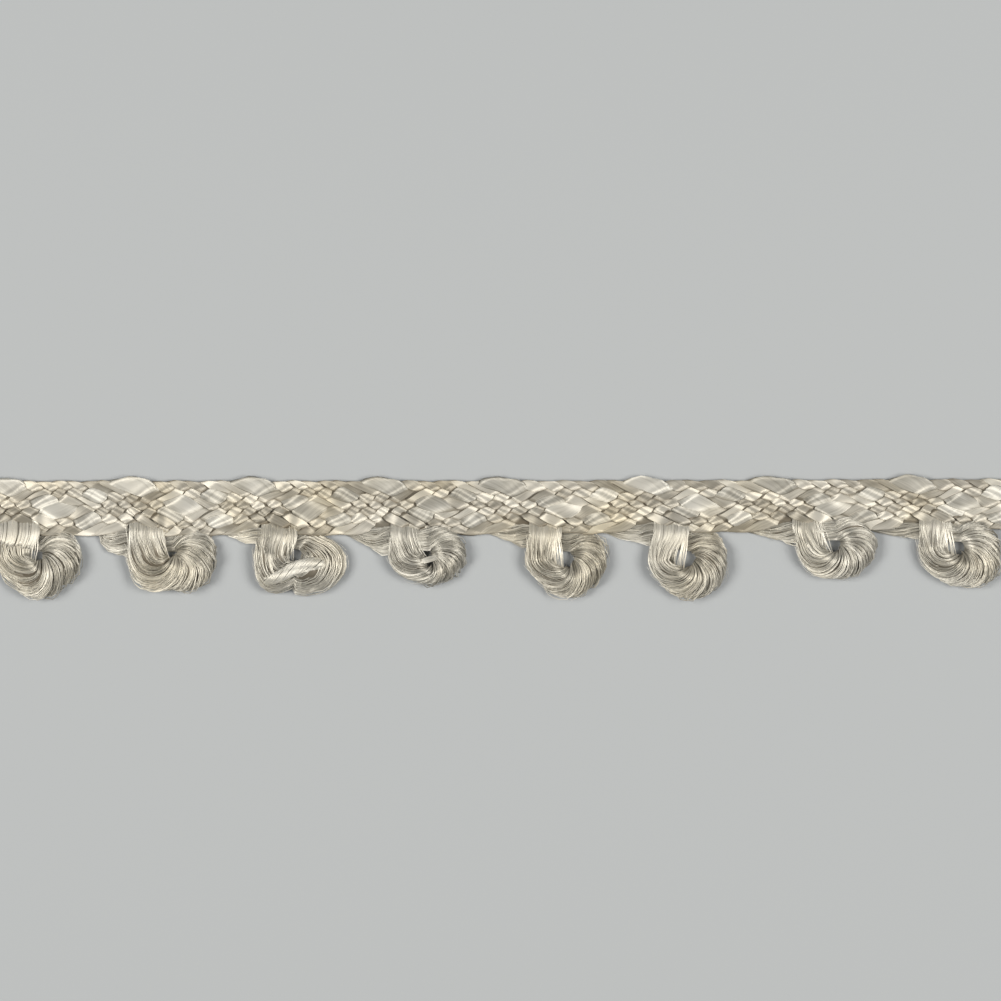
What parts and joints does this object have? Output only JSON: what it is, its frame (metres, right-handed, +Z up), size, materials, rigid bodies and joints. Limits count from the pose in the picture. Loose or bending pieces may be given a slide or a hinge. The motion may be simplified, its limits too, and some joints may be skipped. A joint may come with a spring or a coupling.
{
  "type": "looped braid trim",
  "caption": "Cut length of flat braided floss trim with a row of twisted yarn loops along one edge, to sew on as an edging.",
  "frame": {"origin": "on the surface the trim lies on, under the middle of the band, halfway along its length", "axes": "+X along the trim, -Y towards the loops, +Z up through the face of the braid"},
  "size_m": [0.1366, 0.0152, 0.003],
  "materials": {
    "floss": "flat untwisted rayon floss, satin sheen",
    "roving": "thick soft rayon roving, silky, lightly twisted"
  },
  "bodies": {
    "root": {"band": "floss", "loop_1": "roving", "loop_2": "roving", "loop_3": "roving", "loop_4": "roving", "loop_5": "roving", "loop_6": "roving", "loop_7": "roving", "loop_8": "roving"}
  },
  "joints": []
}
